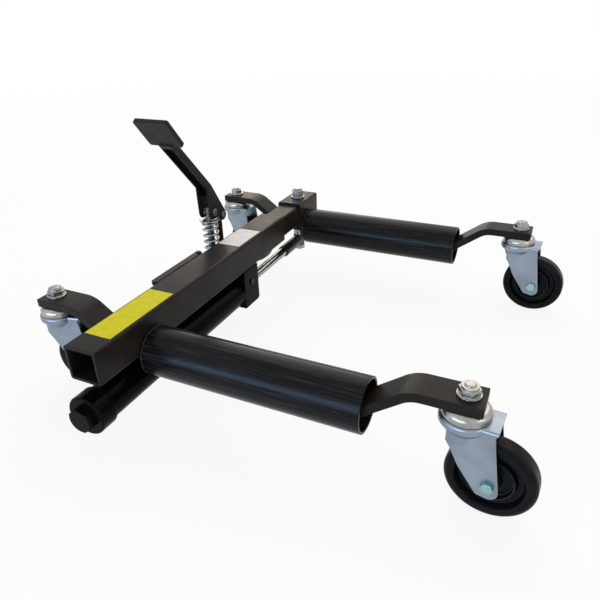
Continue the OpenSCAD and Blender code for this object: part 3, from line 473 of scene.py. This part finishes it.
def spring_path(low, high, radius, centre):
    """A helix whose end turns lie shut on themselves."""
    turns, shut = SPRING_TURNS, SPRING_SHUT_TURNS
    lift = SPRING_SHUT_LIFT * SPRING_WIRE
    open_rise = high - low - SPRING_WIRE - 2 * lift
    steps = int(turns * SPRING_STEPS)
    path = []
    for i in range(steps + 1):
        t = turns * i / steps
        foot = min(t, shut) / shut
        head = max(t - (turns - shut), 0) / shut
        middle = min(max(t - shut, 0), turns - 2 * shut) / (turns - 2 * shut)
        z = low + SPRING_WIRE / 2 + lift * (foot + head) + open_rise * middle
        a = 2 * math.pi * t
        path.append(Vector((centre.x + radius * math.cos(a), centre.y + radius * math.sin(a), z)))
    return path


def make_spring(materials):
    low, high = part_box("return_spring")
    centre = (low + high) / 2
    radius = (high.x - low.x) / 2 - SPRING_WIRE / 2
    path = spring_path(low.z, high.z, radius, centre)
    points, faces = tube(path, [SPRING_WIRE / 2] * len(path), SPRING_SIDES)
    steel = materials["spring_steel"]
    spring = add_piece("coil_spring", points, faces, steel, "plunger_body")
    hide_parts("return_spring")
    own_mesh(spring)


# Threads on the ends of pins and bolts
CASTERS = {"nf": "near", "nr": "near", "ff": "far", "fr": "far"}
ARM_BODIES = {"near": "frame", "far": "slider"}
KING_RADIUS = 6.0 * MM
BOX_BOLT_RADIUS = 8.0 * MM
TIP_CHAMFER = 1.2 * MM
THREAD_PITCH = 1.5 * MM
THREAD_DEPTH = 0.4 * MM
# Where a ridge's crest begins and ends, in pitches
THREAD_CREST = (0.42, 0.58)
# Inner wall, inside the bolt, in radii of the bolt
THREAD_CORE = 0.6
THREAD_SIDES = 48


def thread(name, centre, radius, length, body, materials):
    """Ridges of a thread round the end of a bolt, from its tip down."""
    count = max(int(length / THREAD_PITCH), 2)
    pitch = length / count
    crest, root, core = radius + THREAD_DEPTH, radius - THREAD_DEPTH, radius * THREAD_CORE
    profile = [(root, 0)]
    for i in range(count):
        profile += [(crest, -(i + part) * pitch) for part in THREAD_CREST]
        profile.append((root, -(i + 1) * pitch))
    profile += [(core, -length), (core, 0)]
    points, faces = lathe(profile, centre, UP, THREAD_SIDES)
    add_piece(name, points, faces, materials["zinc"], body)


def thread_above(name, pin, nut, centre, radius, body, materials):
    """Thread on the end of a pin that stands out of its nut."""
    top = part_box(pin)[1].z - TIP_CHAMFER
    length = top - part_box(nut)[1].z
    thread(name, (centre.x, centre.y, top), radius, length, body, materials)


def caster_centre(tag):
    """Swivel axis of a caster, from the middle of its ring of balls."""
    low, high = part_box(tag + "_balls")
    return (low + high) / 2


def make_threads(materials):
    for tag, side in CASTERS.items():
        thread_above(tag + "_thread", side + "_kingpins", side + "_nuts", caster_centre(tag),
                     KING_RADIUS, ARM_BODIES[side], materials)
    low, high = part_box("box_bolt")
    thread_above("box_thread", "box_bolt", "box_nut", (low + high) / 2, BOX_BOLT_RADIUS, "slider",
                 materials)


# Weld beads
WELD_STEP = 1.7 * MM
WELD_SAMPLES = 4
WELD_SIDES = 10
# Radius between two ripples, and what a ripple and a slow waver add, as shares of the bead's radius
WELD_NECK, WELD_RIPPLE, WELD_WAVER = 0.86, 0.2, 0.05
WELD_WAVER_RATE = 9.1
# The ends begin at this share of the radius and widen at this rate
WELD_TIP, WELD_WIDEN = 0.35, 6
ARM_WELD = 2.2 * MM
ARM_REAR_WELD = 2.6 * MM
ARM_WELD_INSET = 3 * MM
BOX_WELD = 1.5 * MM
BOX_WELD_INSET = 4 * MM


def weld(name, start, end, radius, body, materials):
    """A bead with overlapping ripples from start to end."""
    start, end = Vector(start), Vector(end)
    count = max(int((end - start).length / WELD_STEP), 3)
    steps = count * WELD_SAMPLES
    path, radii = [], []
    for i in range(steps + 1):
        t = i / steps
        ripple = abs(math.sin(math.pi * t * count))
        waver = math.sin(WELD_WAVER_RATE * t * count)
        taper = min(1.0, WELD_WIDEN * t + WELD_TIP, WELD_WIDEN * (1 - t) + WELD_TIP)
        path.append(start.lerp(end, t))
        radii.append(radius * taper * (WELD_NECK + WELD_RIPPLE * ripple + WELD_WAVER * waver))
    points, faces = tube(path, radii, WELD_SIDES)
    add_piece(name, points, faces, materials["black_paint"], body)


def make_arm_welds(materials):
    """Beads where each arm meets the underside of the beam or the box."""
    inset = ARM_WELD_INSET
    for side, beam in (("near", "beam_tube"), ("far", "end_box")):
        low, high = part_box(beam)
        front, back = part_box(side + "_arm")[0].y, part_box(side + "_arm")[1].y
        body = ARM_BODIES[side]
        for name, y in (("front", front), ("back", back)):
            weld(f"{side}_arm_weld_{name}", (low.x + inset, y, low.z), (high.x - inset, y, low.z),
                 ARM_WELD, body, materials)
        weld(f"{side}_arm_weld_rear", (low.x, front + inset, low.z), (low.x, back - inset, low.z),
             ARM_REAR_WELD, body, materials)


def make_box_welds(materials):
    """Beads where the inner tube enters the box, over its top and down both sides."""
    low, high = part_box("inner_tube")
    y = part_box("end_box")[0].y
    inset = BOX_WELD_INSET
    weld("box_weld_top", (low.x + inset, y, high.z), (high.x - inset, y, high.z), BOX_WELD, "slider",
         materials)
    for name, x in (("left", low.x), ("right", high.x)):
        weld("box_weld_" + name, (x, y, low.z + inset), (x, y, high.z - inset), BOX_WELD, "slider",
             materials)


# Light: name, place, target, size in metres, power in watts and colour of each lamp
LAMPS = (
    ("overhead", (-0.1, 1.35, 1.8), (0.0, 0.1, 0.1), (3.0, 1.8), 27, (1.0, 0.9, 0.8)),
    ("front_strip", (-0.5, -2.0, 0.45), (0.1, 0.0, 0.1), (1.8, 0.6), 30, (0.36, 0.6, 1.0)),
    ("back_card", (-1.45, 2.9, 1.1), (-0.18, 0.2, 0.15), (1.6, 0.8), 11, (1.0, 0.83, 0.68)),
    ("side_fill", (2.0, -0.6, 1.0), (0.2, 0.0, 0.1), (1.0, 1.0), 7, (0.85, 0.93, 1.0)),
)
SKY_COLOUR = (0.93, 0.95, 1.0, 1)
SKY_STRENGTH = 0.55
WHITE = (1, 1, 1, 1)


def add_area(name, place, target, size, power, colour):
    data = bpy.data.lights.new(name, "AREA")
    data.shape = "RECTANGLE"
    data.size, data.size_y = size
    data.energy = power
    data.color = colour
    lamp = add_object(name, data)
    place = Vector(place)
    aim = (Vector(target) - place).to_track_quat("-Z", "Y")
    lamp.matrix_world = Matrix.Translation(place) @ aim.to_matrix().to_4x4()


def make_lights():
    for lamp in LAMPS:
        add_area(*lamp)


def seen_directly(tree):
    """1 for camera, glossy and transmission rays."""
    path = tree.nodes.new("ShaderNodeLightPath")
    seen = math_node(tree, "MAXIMUM", path.outputs["Is Camera Ray"], path.outputs["Is Glossy Ray"])
    return math_node(tree, "MAXIMUM", seen, path.outputs["Is Transmission Ray"])


def make_world():
    """Soft light from a pale sky that the camera and reflections see as white."""
    world = bpy.data.worlds.new("world")
    bpy.context.scene.world = world
    world.use_nodes = True
    tree = world.node_tree
    plain = tree.nodes["Background"]
    plain.inputs["Color"].default_value = SKY_COLOUR
    plain.inputs["Strength"].default_value = SKY_STRENGTH
    white = tree.nodes.new("ShaderNodeBackground")
    white.inputs["Color"].default_value = WHITE
    blend(tree, seen_directly(tree), plain.outputs["Background"], white.outputs["Background"],
          tree.nodes["World Output"].inputs["Surface"])


# Floor
FLOOR_HALF = 60.0
FLOOR_COLOUR = (0.86, 0.86, 0.86, 1)
# Share of plain white near the object, and the distances from the origin over which it grows to 1
FLOOR_GLOW = 0.88
FLOOR_FADE = (1.2, 4.0)


def far_off(tree):
    """Share of plain white in the floor, FLOOR_GLOW near the object and 1 far out."""
    length = tree.nodes.new("ShaderNodeVectorMath")
    length.operation = "LENGTH"
    tree.links.new(place_of(tree), length.inputs[0])
    return spread(tree, length.outputs["Value"], FLOOR_GLOW, 1.0, *FLOOR_FADE)


def floor_material():
    """Floor that takes shadows, and glows for the rays that see it directly."""
    material = bpy.data.materials.new("floor_white")
    material.use_nodes = True
    tree = material.node_tree
    tree.nodes.remove(shader_of(tree))
    plain = tree.nodes.new("ShaderNodeBsdfDiffuse")
    plain.inputs["Color"].default_value = FLOOR_COLOUR
    glow = tree.nodes.new("ShaderNodeEmission")
    white_share = math_node(tree, "MULTIPLY", seen_directly(tree), far_off(tree))
    blend(tree, white_share, plain.outputs["BSDF"], glow.outputs["Emission"],
          tree.nodes["Material Output"].inputs["Surface"])
    return material


def make_floor():
    half = FLOOR_HALF
    corners = [(-half, -half, 0), (half, -half, 0), (half, half, 0), (-half, half, 0)]
    mesh = bpy.data.meshes.new("floor")
    mesh.from_pydata(corners, [], [(0, 1, 2, 3)])
    floor = add_object("floor", mesh)
    mesh.materials.append(floor_material())


make_camera()
materials = make_materials()
dress_nodes(materials)
make_spring(materials)
make_threads(materials)
make_arm_welds(materials)
make_box_welds(materials)
make_world()
make_lights()
make_floor()
bpy.context.scene.view_settings.view_transform = "Standard"
